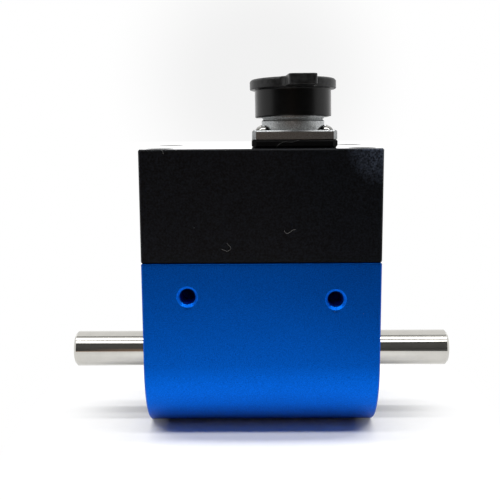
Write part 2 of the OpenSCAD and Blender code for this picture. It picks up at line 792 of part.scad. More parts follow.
module dust_cap() {
  inside_r = barrel_d / 2 + cap_clear;
  skirt_r = cap_d / 2;
  rim_r = rim_d / 2;
  rim_z = cap_top_z - rim_t;
  color([0.06, 0.06, 0.06]) at_connector() difference() {
    union() {
      rotate_extrude() polygon([
        [0, cap_z], [skirt_r - cap_edge, cap_z], [skirt_r, cap_z + cap_edge], [skirt_r, rim_z],
        [rim_r - cap_edge, rim_z], [rim_r, rim_z + cap_edge], [rim_r, cap_top_z - rim_edge],
        [rim_r - rim_edge, cap_top_z], [0, cap_top_z]
      ]);
      rotate(-90 + tab_turn) translate([0, 0, rim_z]) linear_extrude(rim_t) tab_outline();
    }
    translate([0, 0, cap_z - past]) cylinder(r = inside_r, h = cap_depth + past);
  }
}

lower_housing();
electronics_box();
box_screws();
shaft();
strain_gauges();
rotor_boards();
left_bearing_outer();
left_bearing_inner();
left_bearing_balls();
left_bearing_cage();
left_bearing_shields();
right_bearing_outer();
right_bearing_inner();
right_bearing_balls();
right_bearing_cage();
right_bearing_shields();
left_retaining_ring();
right_retaining_ring();
left_rotor_core();
left_rotor_coil();
left_stator_core();
left_stator_coil();
right_rotor_core();
right_rotor_coil();
right_stator_core();
right_stator_coil();
stator_leads();
main_board();
board_standoffs();
board_screws();
board_chips();
board_capacitors();
connector_gasket();
connector_shell();
connector_insert();
connector_contacts();
connector_screws();
connector_wires();
dust_cap();
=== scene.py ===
"""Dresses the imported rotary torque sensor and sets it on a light-box stage.

Laid out as an add-on: settings, one operator for each piece or group of like pieces, and a sidebar panel.
All lengths are in metres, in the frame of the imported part.
"""

import json
import math

import bmesh
import bpy
from mathutils import Matrix, Vector


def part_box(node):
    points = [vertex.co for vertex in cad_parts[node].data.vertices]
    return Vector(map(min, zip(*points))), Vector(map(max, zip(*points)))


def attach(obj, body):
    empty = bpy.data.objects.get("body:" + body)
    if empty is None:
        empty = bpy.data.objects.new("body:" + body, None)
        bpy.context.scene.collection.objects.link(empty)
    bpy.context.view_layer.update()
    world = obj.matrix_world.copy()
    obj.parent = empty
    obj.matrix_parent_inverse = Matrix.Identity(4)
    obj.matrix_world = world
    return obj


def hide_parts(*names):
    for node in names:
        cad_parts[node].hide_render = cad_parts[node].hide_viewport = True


bl_info = {
    "name": "Torque Sensor Dressing",
    "version": (1, 0, 0),
    "blender": (4, 5, 0),
    "location": "View3D > Sidebar > Sensor",
    "description": "Finishes, threads, dust cap, lint and stage for a rotary torque sensor",
    "category": "Object",
}

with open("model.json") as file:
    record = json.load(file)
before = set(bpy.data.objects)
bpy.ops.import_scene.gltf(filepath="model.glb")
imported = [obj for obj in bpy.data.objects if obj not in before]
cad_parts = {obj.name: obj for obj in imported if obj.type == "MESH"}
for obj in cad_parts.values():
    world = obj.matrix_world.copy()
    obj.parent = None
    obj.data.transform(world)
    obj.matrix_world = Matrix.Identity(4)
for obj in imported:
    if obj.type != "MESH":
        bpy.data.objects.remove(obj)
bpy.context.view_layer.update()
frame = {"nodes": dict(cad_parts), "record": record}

MM = 0.001
SIDES = ("left", "right")
MOUNTS = {mount["name"]: mount for mount in frame["record"]["mounts"]}
SHAFT_LOW, SHAFT_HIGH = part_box("shaft")
SHAFT_AXIS = (SHAFT_LOW + SHAFT_HIGH) / 2
HOUSING_LOW, HOUSING_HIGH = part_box("lower_housing")
BOX_LOW, BOX_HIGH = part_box("electronics_box")
GASKET_LOW, GASKET_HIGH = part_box("connector_gasket")
SHELL_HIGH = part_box("connector_shell")[1]
CAP_LOW, CAP_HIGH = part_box("dust_cap")
PLUG_AXIS = Vector(MOUNTS["signal_connector"]["pos_m"])
ALONG_SHAFT = Vector((1.0, 0.0, 0.0))
UPWARD = Vector((0.0, 0.0, 1.0))
ORIGIN = Vector((0.0, 0.0, 0.0))
NOISE_LOW = 0.3
NOISE_HIGH = 0.7
BARREL_ROUGHNESS = 0.5


def length(name, description, default):
    """A length setting."""
    return bpy.props.FloatProperty(
        name=name, description=description, default=default, unit="LENGTH", precision=5
    )


def level(name, description, default):
    """A brightness or power setting."""
    return bpy.props.FloatProperty(name=name, description=description, default=default, min=0.0)


def angle(name, description, degrees):
    """An angle setting, given here in degrees."""
    return bpy.props.FloatProperty(
        name=name, description=description, default=math.radians(degrees), subtype="ANGLE"
    )


def colour(name, description, default):
    """A colour setting."""
    return bpy.props.FloatVectorProperty(
        name=name, description=description, default=(*default, 1.0), size=4, min=0, max=1, subtype="COLOR"
    )


class SensorFinishSettings(bpy.types.PropertyGroup):
    """Colours of the sensor's materials."""

    blue: colour("Blue anodising", "Dyed oxide on the lower housing", (0.001, 0.069, 0.378))
    black: colour("Black anodising", "Dyed oxide on the electronics box", (0.0029, 0.0036, 0.0052))
    ground_steel: colour("Ground steel", "Shaft", (0.585, 0.572, 0.535))
    bearing_steel: colour("Bearing steel", "Rings, balls and shields", (0.58, 0.575, 0.56))
    cage_brass: colour("Cage brass", "Ball cages", (0.62, 0.43, 0.16))
    spring_steel: colour("Spring steel", "Retaining rings", (0.09, 0.088, 0.085))
    ferrite: colour("Ferrite", "Transformer cores", (0.04, 0.038, 0.036))
    copper: colour("Copper", "Transformer coils", (0.66, 0.24, 0.085))
    board: colour("Solder mask", "Circuit boards", (0.006, 0.085, 0.03))
    film: colour("Gauge film", "Backing of the strain gauges", (0.52, 0.24, 0.03))
    foil: colour("Gauge foil", "Grid of the strain gauges", (0.62, 0.55, 0.45))
    brass: colour("Brass", "Board standoffs", (0.7, 0.48, 0.17))
    oiled_steel: colour("Oiled steel", "Box screws", (0.11, 0.11, 0.115))
    bright_steel: colour("Bright plating", "Connector and board screws", (0.8, 0.79, 0.75))
    moulding: colour("Black moulding", "Chip bodies", (0.014, 0.014, 0.014))
    sleeve: colour("Capacitor sleeve", "Shrunk film on the capacitors", (0.02, 0.024, 0.05))
    rubber: colour("Rubber", "Connector gasket", (0.003, 0.003, 0.0033))
    shell: colour("Shell metal", "Connector shell", (0.5, 0.515, 0.52))
    insert: colour("Insert plastic", "Contact carrier", (0.016, 0.016, 0.018))
    gold: colour("Gold", "Connector contacts", (0.86, 0.58, 0.2))
    red: colour("Red wire", "Stator leads", (0.42, 0.012, 0.01))
    yellow: colour("Yellow wire", "Connector wires", (0.55, 0.4, 0.035))
    cap: colour("Cap plastic", "Skirt of the dust cap", (0.0018, 0.0018, 0.002))
    cap_rim: colour("Worn cap plastic", "Handled rim and tab of the dust cap", (0.021, 0.0214, 0.022))
    lint: colour("Lint", "Stray fibres", (0.11, 0.11, 0.107))


class SensorDetailSettings(bpy.types.PropertyGroup):
    """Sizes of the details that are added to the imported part."""

    blast_grain: length("Blast grain", "Width of the pits left by bead blasting", 0.21 * MM)
    blast_depth: length("Blast depth", "Depth of those pits", 0.008 * MM)
    grind_pitch: length("Grinding pitch", "Spacing of the grinding rings on the shaft", 0.06 * MM)
    grind_depth: length("Grinding depth", "Depth of the grinding rings", 0.0002 * MM)
    wire_pitch: length("Winding pitch", "Spacing of the coil's turns", 0.28 * MM)
    hole_pitch: length("Hole thread pitch", "Pitch of the thread in the front holes", 0.7 * MM)
    hole_ridge: length("Hole thread height", "How far the thread stands into the hole", 0.17 * MM)
    barrel_pitch: length("Barrel thread pitch", "Pitch of the thread on the connector barrel", 1.0 * MM)
    barrel_ridge: length("Barrel thread height", "How far the thread stands out of the barrel", 0.12 * MM)
    cap_voxel: length("Cap voxel", "Mesh size of the soft dust cap", 0.145 * MM)
    cap_lean: angle("Cap lean", "How far the dust cap leans to the left", 0.7)
    cap_tilt: angle("Cap tilt", "How far the dust cap tips up at the front", 2.0)
    cap_ripple: length("Cap ripple", "Unevenness of the skirt's lower edge", 0.06 * MM)
    lint_radius: length("Lint radius", "Half the width of a stray fibre", 0.035 * MM)


class SensorStageSettings(bpy.types.PropertyGroup):
    """Camera, lights, floor and background."""

    camera_place: bpy.props.FloatVectorProperty(
        name="Camera place",
        description="Where the camera stands",
        default=(-1.29 * MM, -181.5 * MM, 66.39 * MM),
        size=3,
        subtype="TRANSLATION",
        unit="LENGTH",
    )
    camera_pitch: angle("Pitch", "How far the camera looks down", 8.846)
    camera_yaw: angle("Yaw", "How far the camera looks to the right", -0.365)
    camera_roll: angle("Roll", "How far the camera leans", -0.347)
    camera_lens: bpy.props.FloatProperty(
        name="Lens", description="Focal length on a 36 mm sensor", default=58.39, unit="CAMERA"
    )
    light_height: length("Light height", "Height of the lights above the floor", 0.5)
    light_span: length("Light length", "Length of the lights, from left to right", 0.9)
    rear_strip_y: length("Rear strip", "Place of the rear strip, front to back", 0.0097)
    rear_strip_width: length("Rear strip width", "Width of the rear strip", 0.03)
    rear_strip_power: level("Rear strip power", "Power of the rear strip, in watts", 2.4)
    front_strip_y: length("Front strip", "Place of the front strip, front to back", -0.119)
    front_strip_width: length("Front strip width", "Width of the front strip", 0.062)
    front_strip_power: level("Front strip power", "Power of the front strip, in watts", 1.9)
    panel_y: length("Front panel", "Place of the front panel, front to back", -0.342)
    panel_width: length("Panel width", "Width of the front panel", 0.188)
    panel_power: level("Panel power", "Power of the front panel, in watts", 1.0)
    glow_y: length("Rear glow", "Place of the low strip behind, front to back", 0.5)
    glow_height: length("Glow height", "Height of the middle of that strip", 0.082)
    glow_width: length("Glow width", "Width of that strip, up and down", 0.04)
    glow_power: level("Glow power", "Power of that strip, in watts, for mirrored light only", 0.06)
    card_y: length("Bounce card", "Place of the bounce card on the floor, front to back", -0.026)
    card_depth: length("Card depth", "Size of the bounce card, front to back", 0.02)
    card_span: length("Card length", "Length of the bounce card, from left to right", 0.2)
    card_power: level("Card power", "Power of the bounce card, in watts", 0.037)
    rear_rail_y: length("Rear rail", "Place of the dark bar behind the rear strip, front to back", 0.062)
    rear_rail_width: length("Rear rail width", "Width of that bar", 0.046)
    front_rail_y: length("Front rail", "Place of the dark bar between the front strip and the panel", -0.222)
    front_rail_width: length("Front rail width", "Width of that bar", 0.04)
    ambient_back: level("Ambient behind", "Strength of the world on matt surfaces, from behind", 0.9)
    ambient_front: level("Ambient in front", "Strength of the world on matt surfaces, from the front", 0.03)
    grey: level("Grey behind", "Strength of the backdrop behind the connector, where 1 is white", 0.885)
    grey_reach: level("Grey reach", "Reach of that grey, as a share of its distance", 0.12)
    curtain_radius: length("Curtain radius", "Distance of the dark curtain round the front", 0.45)
    curtain_height: length("Curtain height", "Height of the dark curtain", 0.5)
    curtain_reach: angle("Curtain reach", "How far the curtain reaches round on each side", 65.0)
    curtain: colour("Curtain", "Dark cloth round the front", (0.078, 0.077, 0.075))
    curtain_foot: colour("Curtain foot", "Brown foot of the dark cloth", (0.29, 0.205, 0.155))
    curtain_foot_height: length("Curtain foot height", "Height of the brown foot", 0.08)
    foot_x: length("Curtain foot middle", "Middle of the brown part, from left to right", -0.038)
    foot_span: length("Curtain foot span", "Half the length of the brown part", 0.045)
    mat_shift: length("Mat shift", "How much nearer the cloth starts on the right", 0.05)
    mat_radius: length("Mat radius", "Distance at which the cloth starts on the floor", 0.14)
    floor: colour("Floor", "Pale floor", (0.9, 0.9, 0.9))
    pool_inner: length("Shadow pool", "Radius inside which the floor shows its own light", 0.046)
    pool_outer: length("White floor", "Radius outside which the floor is plain white", 0.12)
    pool_squeeze: level("Pool squeeze", "How many times narrower the pool is from left to right", 2.2)


class Nodes:
    """A node tree in the making, with the steps that materials and the world share."""

    def __init__(self, tree):
        self.tree = tree

    def node(self, kind, **values):
        """Adds a node and sets its own properties."""
        made = self.tree.nodes.new(kind)
        for key, value in values.items():
            setattr(made, key, value)
        return made

    def join(self, output, socket):
        """Links an output to an input."""
        self.tree.links.new(output, socket)

    def math(self, operation, first, second):
        """Works out one value from two."""
        made = self.node("ShaderNodeMath", operation=operation)
        self.join(first, made.inputs[0])
        self.join(second, made.inputs[1])
        return made.outputs["Value"]

    def vector(self, operation, place, other, result="Vector"):
        """Works out a vector or a value from a place and a fixed vector."""
        made = self.node("ShaderNodeVectorMath", operation=operation)
        made.inputs[1].default_value = other
        self.join(place, made.inputs[0])
        return made.outputs[result]

    def distance(self, place, point=ORIGIN):
        """How far a place lies from a point."""
        return self.vector("DISTANCE", place, point, "Value")

    def axis(self, place, name):
        """One of a place's three coordinates."""
        parts = self.node("ShaderNodeSeparateXYZ")
        self.join(place, parts.inputs["Vector"])
        return parts.outputs[name]

    def spread(self, value, low, high, start=0.0, end=1.0, easing="LINEAR"):
        """A value stretched from one range to another. The ends of the new one are numbers or outputs."""
        made = self.node("ShaderNodeMapRange", interpolation_type=easing)
        for name, part in zip(("From Min", "From Max", "To Min", "To Max"), (start, end, low, high)):
            if isinstance(part, bpy.types.NodeSocket):
                self.join(part, made.inputs[name])
            else:
                made.inputs[name].default_value = part
        self.join(value, made.inputs["Value"])
        return made.outputs["Result"]

    def seen_directly(self):
        """An output that is 1 for camera, glossy and transmission rays."""
        path = self.node("ShaderNodeLightPath").outputs
        seen_or_mirrored = self.math("MAXIMUM", path["Is Camera Ray"], path["Is Glossy Ray"])
        return self.math("MAXIMUM", seen_or_mirrored, path["Is Transmission Ray"])


class Finish(Nodes):
    """A material in the making: a Principled shader and the texture steps that the finishes share."""

    def __init__(self, name, metallic=0.0, roughness=0.5):
        self.material = bpy.data.materials.new(name)
        self.material.use_nodes = True
        super().__init__(self.material.node_tree)
        self.shader = self.tree.nodes["Principled BSDF"]
        self.set("Metallic", metallic)
        self.set("Roughness", roughness)
        self.place = self.node("ShaderNodeTexCoord").outputs["Object"]
        self.normal = None

    def set(self, name, value):
        """Sets one of the shader's own sockets."""
        self.shader.inputs[name].default_value = value

    def feed(self, name, output):
        """Links an output to one of the shader's own sockets."""
        self.join(output, self.shader.inputs[name])

    def stretched(self, scale):
        """Object coordinates stretched along the three axes."""
        made = self.node("ShaderNodeMapping")
        made.inputs["Scale"].default_value = scale
        self.join(self.place, made.inputs["Vector"])
        return made.outputs["Vector"]

    def turned(self, centre, along):
        """Coordinates of a turned piece: distance along its axis, then distance from the axis."""
        shifted = self.vector("SUBTRACT", self.place, centre)
        across = self.vector("CROSS_PRODUCT", shifted, along)
        made = self.node("ShaderNodeCombineXYZ")
        self.join(self.vector("DOT_PRODUCT", shifted, along, "Value"), made.inputs["X"])
        self.join(self.distance(across), made.inputs["Y"])
        return made.outputs["Vector"]

    def noise(self, size, detail=2.0, place=None):
        """Noise with features of about the given size."""
        made = self.node("ShaderNodeTexNoise")
        made.inputs["Scale"].default_value = 1.0 / size
        made.inputs["Detail"].default_value = detail
        self.join(place or self.place, made.inputs["Vector"])
        return made.outputs["Fac"]

    def bands(self, pitch, direction="DIAGONAL", place=None):
        """Even ridges at the given pitch, across one axis or across all of them."""
        radians_per_unit = 10.0 if direction == "DIAGONAL" else 20.0
        made = self.node("ShaderNodeTexWave", wave_type="BANDS", bands_direction=direction)
        made.inputs["Scale"].default_value = 2.0 * math.pi / radians_per_unit / pitch
        self.join(place or self.place, made.inputs["Vector"])
        return made.outputs["Fac"]

    def ramp(self, value, *stops):
        """Colours over a value. Each stop is a position and a colour."""
        made = self.node("ShaderNodeValToRGB")
        elements = made.color_ramp.elements
        while len(elements) < len(stops):
            elements.new(1.0)
        for element, (position, tone) in zip(elements, stops):
            element.position = position
            element.color = tone
        self.join(value, made.inputs["Fac"])
        return made.outputs["Color"]

    def height(self, low, high):
        """A value that rises from 0 to 1 between two heights."""
        return self.spread(self.axis(self.place, "Z"), 0.0, 1.0, low, high)

    def near(self, point, inner, outer):
        """A value of 1 round a point that falls to 0 between two distances."""
        return self.spread(self.distance(self.place, point), 1.0, 0.0, inner, outer)

    def paint(self, output):
        """Feeds the shader's base colour."""
        self.feed("Base Color", output)

    def tint(self, value, factors):
        """Multiplies the paint by a red, a green and a blue factor where a value reaches 1."""
        painted = self.shader.inputs["Base Color"].links[0].from_socket
        mix = self.node("ShaderNodeMix", data_type="RGBA", blend_type="MULTIPLY")
        self.join(value, mix.inputs["Factor"])
        self.join(painted, mix.inputs[6])
        mix.inputs[7].default_value = (*factors, 1.0)
        self.paint(mix.outputs[2])

    def shade(self, value, factor):
        """Makes the paint darker or lighter where a value reaches 1."""
        self.tint(value, (factor, factor, factor))

    def mottle(self, tone, value, depth):
        """Paints a colour that varies by a share of itself with a value."""
        dark = (NOISE_LOW, scaled(tone, 1.0 - depth))
        light = (NOISE_HIGH, scaled(tone, 1.0 + depth))
        self.paint(self.ramp(value, dark, light))

    def gloss(self, value, low, high):
        """Varies the roughness with a value."""
        self.feed("Roughness", self.spread(value, low, high, NOISE_LOW, NOISE_HIGH))

    def relief(self, height, depth):
        """Adds relief of the given depth over what is there."""
        made = self.node("ShaderNodeBump")
        made.inputs["Distance"].default_value = depth
        self.join(height, made.inputs["Height"])
        if self.normal:
            self.join(self.normal, made.inputs["Normal"])
        self.normal = made.outputs["Normal"]
        self.feed("Normal", self.normal)


def scaled(tone, factor):
    """A colour made darker or lighter."""
    return (*(min(1.0, part * factor) for part in tone[:3]), 1.0)


def blasted_metal(name, tone, details, metallic, roughness, depth, coarse=1.0):
    """Bead blasted and anodised aluminium: fine pits, a faint cloud and small changes of gloss."""
    swing = 0.03
    finish = Finish(name, metallic, roughness)
    grain = finish.noise(coarse * details.blast_grain)
    cloud = finish.noise(size=20 * details.blast_grain, detail=3.0)
    finish.mottle(tone, grain, depth)
    finish.gloss(cloud, roughness - swing, roughness + swing)
    finish.relief(grain, details.blast_depth)
    return finish


def turned_metal(name, tone, pitch, depth, roughness, centre=SHAFT_AXIS, along=ALONG_SHAFT):
    """Metal with fine rings round an axis, as grinding or turning leaves it."""
    finish = Finish(name, metallic=1.0, roughness=roughness)
    rings = finish.noise(pitch, detail=3.0, place=finish.turned(centre, along))
    finish.mottle(tone, finish.noise(size=40 * pitch), depth=0.03)
    finish.gloss(rings, 0.7 * roughness, 1.3 * roughness)
    finish.relief(rings, depth)
    return finish


def moulded_plastic(name, tone, grain, roughness, depth=0.01 * MM):
    """Moulded plastic or rubber: a fine pebbled skin and a faint cloud of gloss."""
    swing = 0.06
    finish = Finish(name, roughness=roughness)
    skin = finish.noise(grain)
    finish.mottle(tone, finish.noise(size=12 * grain, detail=3.0), depth=0.25)
    finish.gloss(finish.noise(size=6 * grain), roughness - swing, roughness + swing)
    finish.relief(skin, depth)
    return finish


def wound_copper(tone, pitch):
    """A coil of enamelled wire: a round ridge for each turn, with painted shade in the grooves and a painted
    highlight on the crests.
    """
    finish = Finish("copper_coil", metallic=1.0, roughness=0.3)
    turns = finish.bands(pitch, place=finish.turned(SHAFT_AXIS, ALONG_SHAFT))
    # Painted shade in the grooves between turns and a painted highlight on their crests.
    finish.paint(finish.ramp(turns, (0.0, scaled(tone, 0.25)), (0.5, tone), (1.0, scaled(tone, 1.15))))
    finish.relief(turns, depth=0.4 * pitch)
    finish.set("Coat Weight", 0.6)
    finish.set("Coat Roughness", 0.15)
    return finish.material


def solder_mask(tone):
    """A circuit board: tracks and pads that show as a lighter tone under the solder mask."""
    track_spacing = 4.0 * MM
    finish = Finish("circuit_board", roughness=0.32)
    tracks = finish.node("ShaderNodeTexBrick", offset=0.35, squash=1.4, squash_frequency=3)
    tracks.inputs["Scale"].default_value = 1.0 / track_spacing
    tracks.inputs["Mortar Size"].default_value = 0.035
    tracks.inputs["Color1"].default_value = tone
    tracks.inputs["Color2"].default_value = scaled(tone, 0.85)
    tracks.inputs["Mortar"].default_value = scaled(tone, 1.9)
    finish.join(finish.place, tracks.inputs["Vector"])
    finish.paint(tracks.outputs["Color"])
    finish.gloss(finish.noise(size=1.5 * MM), 0.26, 0.38)
    finish.relief(tracks.outputs["Fac"], depth=0.02 * MM)
    finish.set("Coat Weight", 0.4)
    finish.set("Coat Roughness", 0.2)
    return finish.material


def gauge_grid(film, foil):
    """A strain gauge: fine foil lines on a clear amber film."""
    film_end = 0.45
    foil_start = 0.55
    finish = Finish("gauge_foil", roughness=0.35)
    lines = finish.bands(pitch=0.3 * MM, direction="X")
    finish.paint(finish.ramp(lines, (film_end, film), (foil_start, foil)))
    finish.feed("Metallic", finish.spread(lines, 0.0, 0.9, film_end, foil_start))
    finish.relief(lines, depth=0.01 * MM)
    return finish.material


def insulated_wire(name, tone):
    """Drawn wire insulation: faint streaks along the wire and a soft gloss."""
    finish = Finish(name, roughness=0.38)
    streaks = finish.noise(size=0.3 * MM, place=finish.stretched((1.0, 1.0, 0.1)))
    finish.mottle(tone, streaks, depth=0.12)
    finish.gloss(streaks, 0.32, 0.44)
    finish.relief(streaks, depth=0.01 * MM)
    return finish.material


def cast_shell(name, tone, roughness, depth):
    """The connector shell: metal with a fine grain and rubbed patches."""
    swing = 0.04
    finish = Finish(name, metallic=1.0, roughness=roughness)
    grain = finish.noise(size=0.2 * MM, detail=3.0)
    finish.mottle(tone, grain, depth)
    finish.gloss(finish.noise(size=0.9 * MM, detail=3.0), roughness - swing, roughness + swing)
    finish.relief(grain, depth=0.0015 * MM)
    return finish


def bright_plating(name, tone):
    """Bright plated screws: near mirror, with faint rubbing."""
    finish = Finish(name, metallic=1.0, roughness=0.1)
    rubbing = finish.noise(size=0.25 * MM, detail=3.0)
    finish.mottle(tone, finish.noise(size=1.2 * MM), depth=0.06)
    finish.gloss(rubbing, 0.06, 0.14)
    finish.relief(rubbing, depth=0.002 * MM)
    return finish


def dress(material, *nodes):
    """Gives CAD nodes a material."""
    for node in nodes:
        for slot in frame["nodes"][node].material_slots:
            slot.material = material


def both(name):
    """The left and the right node of a pair."""
    return [f"{side}_{name}" for side in SIDES]


def add_object(name, data):
    """Adds an object to the scene."""
    made = bpy.data.objects.new(name, data)
    bpy.context.scene.collection.objects.link(made)
    return made


def add_piece(name, data, material, body):
    """Adds a piece in place, with its material, riding on a CAD body."""
    data.materials.append(material)
    piece = add_object(name, data)
    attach(piece, body)
    return piece


def thread_ridge(work, centre, along, run, root, crest, pitch, steps=40):
    """Adds a closed helical ridge to a bmesh, from the centre point along an axis. Both ends run out."""
    side = along.orthogonal().normalized()
    up = along.cross(side)
    flank = 0.44 * pitch
    flat = 0.1 * pitch
    least_height = 0.04
    runout_turns = 0.5
    count = round(run / pitch * steps)
    rings = []
    for i in range(count + 1):
        turn = 2.0 * math.pi * i / steps
        runout = min(1.0, least_height + min(i, count - i) / (runout_turns * steps))
        tip = root + (crest - root) * runout
        out = side * math.cos(turn) + up * math.sin(turn)
        middle = centre + along * (run * i / count)
        profile = ((root, -flank), (tip, -flat), (tip, flat), (root, flank))
        rings.append([work.verts.new(middle + out * radius + along * shift) for radius, shift in profile])
    for near, far in zip(rings, rings[1:]):
        for k in range(4):
            work.faces.new((near[k], near[k - 3], far[k - 3], far[k]))
    work.faces.new(rings[0])
    work.faces.new(rings[-1])


def mesh_of(work, name):
    """Turns a bmesh into a flat shaded mesh with its normals outward."""
    bmesh.ops.recalc_face_normals(work, faces=work.faces)
    for face in work.faces:
        face.smooth = False
    mesh = bpy.data.meshes.new(name)
    work.to_mesh(mesh)
    work.free()
    return mesh


class SensorOperator:
    """What the operators share: their settings and how they run."""

    bl_options = {"REGISTER", "UNDO"}

    def execute(self, context):
        scene = context.scene
        self.make(scene.sensor_finish, scene.sensor_details, scene.sensor_stage)
        return {"FINISHED"}


class SENSOR_OT_housing(SensorOperator, bpy.types.Operator):
    """Finish the lower housing, the electronics box and the screws that hold them together"""

    bl_idname = "sensor.housing"
    bl_label = "Housing"

    # The first five sizes below place painted marks: shade under the box, a reflection of the floor on the
    # underside, highlights on the countersinks and shade on their lower lips.
    joint_shade_depth: length("Seam depth", "Depth of the dark band under the box", 0.6 * MM)
    painted_sheen_top: length("Sheen top", "Height at which the red sheen of the underside starts", 6.5 * MM)
    painted_sheen_foot: length("Sheen foot", "Height at which that sheen is full", 0.8 * MM)
    sink_highlight_radius: length("Countersink radius", "Outer radius of the bright countersinks", 2.25 * MM)
    lip_shade_drop: length("Lip drop", "How far a countersink's dim lower lip lies under its middle", 1.95 * MM)
    haze_reach: length("Haze reach", "Reach of the pale haze at one corner of the box", 8.0 * MM)

    def make(self, looks, details, stage):
        self.blue_housing(looks, details)
        self.black_box(looks, details)
        oiled = moulded_plastic("screw_steel", looks.oiled_steel, grain=0.3 * MM, roughness=0.36)
        oiled.set("Metallic", 1.0)
        dress(oiled.material, "box_screws")

    def blue_housing(self, looks, details):
        """Blue metal with a painted shade band along its top edge under the box, a painted reddish
        reflection of the floor on the underside, and painted highlights on the countersinks with painted
        shade on their lower lips.
        """
        sheen = (9.0, 0.98, 0.97)
        sink_highlight_edge = self.sink_highlight_radius + 0.05 * MM
        lip_shade_inner = 0.4 * MM
        lip_shade_outer = 1.2 * MM
        blue = blasted_metal("blue_anodised", looks.blue, details, metallic=0.5, roughness=0.33, depth=0.3)
        blue.set("Specular IOR Level", 0.0)
        # Painted shade: a darker band along the top of the blue housing, where it meets the box.
        joint_shade = blue.height(HOUSING_HIGH.z - self.joint_shade_depth, HOUSING_HIGH.z - self.joint_shade_depth / 2)
        blue.shade(joint_shade, factor=0.45)
        # Painted reflection: a reddish grey sheen of the pale floor, painted onto the underside.
        blue.tint(blue.height(self.painted_sheen_top, self.painted_sheen_foot), sheen)
        for side in SIDES:
            mouth = Vector(MOUNTS[f"front_hole_{side}"]["pos_m"])
            mouth.y = HOUSING_LOW.y
            # Painted highlight on each countersink, and painted shade on its lower lip.
            blue.shade(blue.near(mouth, self.sink_highlight_radius, sink_highlight_edge), factor=1.75)
            blue.shade(blue.near(mouth - UPWARD * self.lip_shade_drop, lip_shade_inner, lip_shade_outer), factor=0.6)
        dress(blue.material, "lower_housing")

    def black_box(self, looks, details):
        """Black metal under a thin clear film, with a pale haze at one corner."""
        haze_inner = 0.5 * MM
        haze_corner = Vector((BOX_HIGH.x, BOX_LOW.y, BOX_HIGH.z))
        black = blasted_metal(
            "black_anodised", looks.black, details, metallic=0.0, roughness=0.5, depth=0.95, coarse=1.8
        )
        black.shade(black.near(haze_corner, haze_inner, self.haze_reach), factor=12.0)
        black.set("Specular IOR Level", 0.08)
        black.set("Coat Weight", 1.0)
        black.set("Coat IOR", 1.12)
        black.set("Coat Roughness", 0.05)
        dress(black.material, "electronics_box")


class SENSOR_OT_hole_threads(SensorOperator, bpy.types.Operator):
    """Cut the thread in the two front mounting holes"""

    bl_idname = "sensor.hole_threads"
    bl_label = "Hole threads"

    def make(self, looks, details, stage):
        pitch = details.hole_pitch
        inner_margin = 0.7 * pitch
        outer_margin = 0.9 * pitch
        root_sink = 0.03 * MM
        work = bmesh.new()
        for side in SIDES:
            mount = MOUNTS[f"front_hole_{side}"]
            out = Vector(mount["axis"])
            depth = mount["dims"]["length_mm"] * MM
            bore = mount["dims"]["r_mm"] * MM
            start = Vector(mount["pos_m"]) - out * (depth / 2 - inner_margin)
            run = depth - inner_margin - outer_margin
            thread_ridge(work, start, out, run, bore + root_sink, bore - details.hole_ridge, pitch)
        mesh = mesh_of(work, "front_hole_threads")
        cut = blasted_metal("blue_thread", looks.blue, details, metallic=0.5, roughness=0.26, depth=0.08)
        add_piece("front_hole_threads", mesh, cut.material, "housing")


class SENSOR_OT_shaft(SensorOperator, bpy.types.Operator):
    """Finish the ground shaft"""

    bl_idname = "sensor.shaft"
    bl_label = "Shaft"

    def make(self, looks, details, stage):
        ground = turned_metal(
            "ground_steel", looks.ground_steel, details.grind_pitch, details.grind_depth, roughness=0.06
        )
        dress(ground.material, "shaft")


class SENSOR_OT_bearings(SensorOperator, bpy.types.Operator):
    """Finish the ball bearings and the rings that hold them"""

    bl_idname = "sensor.bearings"
    bl_label = "Bearings"

    def make(self, looks, details, stage):
        steel = turned_metal(
            "bearing_steel", looks.bearing_steel, pitch=0.09 * MM, depth=0.0008 * MM, roughness=0.16
        )
        for name in ("outer", "inner", "balls", "shields"):
            dress(steel.material, *both(f"bearing_{name}"))
        cage = turned_metal(
            "bearing_cage", looks.cage_brass, pitch=0.15 * MM, depth=0.001 * MM, roughness=0.3
        )
        dress(cage.material, *both("bearing_cage"))
        spring = turned_metal(
            "spring_steel", looks.spring_steel, pitch=0.2 * MM, depth=0.002 * MM, roughness=0.38
        )
        dress(spring.material, *both("retaining_ring"))


class SENSOR_OT_transformers(SensorOperator, bpy.types.Operator):
    """Finish the rotary transformers, their leads and the strain gauges"""

    bl_idname = "sensor.transformers"
    bl_label = "Transformers and gauges"

    def make(self, looks, details, stage):
        ferrite = moulded_plastic("ferrite", looks.ferrite, grain=0.12 * MM, roughness=0.6)
        dress(ferrite.material, *both("rotor_core"), *both("stator_core"))
        copper = wound_copper(looks.copper, details.wire_pitch)
        dress(copper, *both("rotor_coil"), *both("stator_coil"))
        dress(insulated_wire("wire_red", looks.red), "stator_leads")
        dress(gauge_grid(looks.film, looks.foil), "strain_gauges")


class SENSOR_OT_boards(SensorOperator, bpy.types.Operator):
    """Finish the circuit boards and what sits on them"""

    bl_idname = "sensor.boards"
    bl_label = "Boards"

    def make(self, looks, details, stage):
        dress(solder_mask(looks.board), "main_board", "rotor_boards")
        chips = moulded_plastic("chip_black", looks.moulding, grain=0.1 * MM, roughness=0.5)
        dress(chips.material, "board_chips")
        sleeve = moulded_plastic("capacitor_sleeve", looks.sleeve, grain=0.5 * MM, roughness=0.22)
        sleeve.set("Coat Weight", 0.5)
        dress(sleeve.material, "board_capacitors")
        brass = turned_metal(
            "brass", looks.brass, pitch=0.12 * MM, depth=0.001 * MM, roughness=0.24, along=UPWARD
        )
        dress(brass.material, "board_standoffs")


